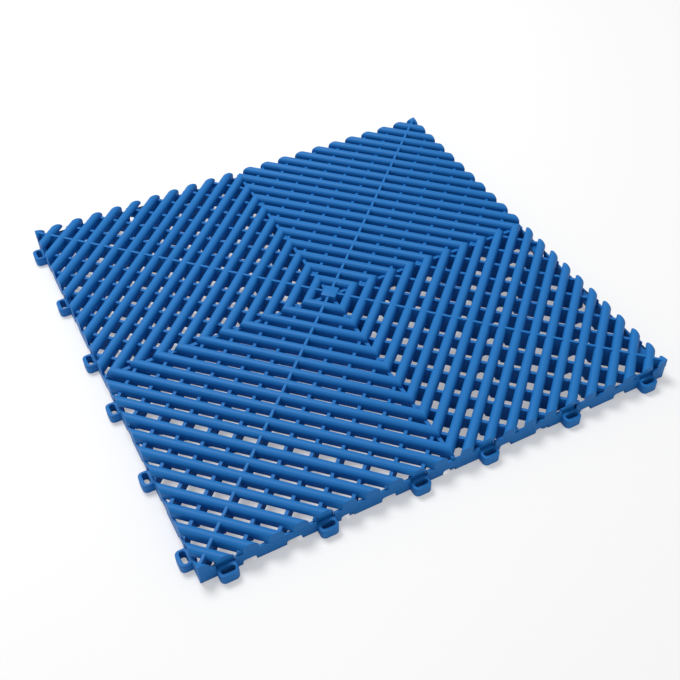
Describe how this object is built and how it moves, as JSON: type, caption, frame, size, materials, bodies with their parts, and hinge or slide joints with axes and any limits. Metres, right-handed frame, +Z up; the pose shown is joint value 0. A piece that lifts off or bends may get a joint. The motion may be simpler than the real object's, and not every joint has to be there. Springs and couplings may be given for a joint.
{
  "type": "modular floor tile",
  "caption": "Square ventilated plastic floor tile with round-topped ribs in nested diamonds and slotted loops on two edges for joining to its neighbours.",
  "frame": {"origin": "centre of the tile on the floor, under its middle pad", "axes": "+Z up; the looped edges face -X and -Y"},
  "size_m": [0.4085, 0.4085, 0.02],
  "materials": {
    "blue_plastic": "satin moulded polypropylene"
  },
  "bodies": {
    "root": {"half_back": "blue_plastic", "half_front": "blue_plastic"}
  },
  "joints": []
}
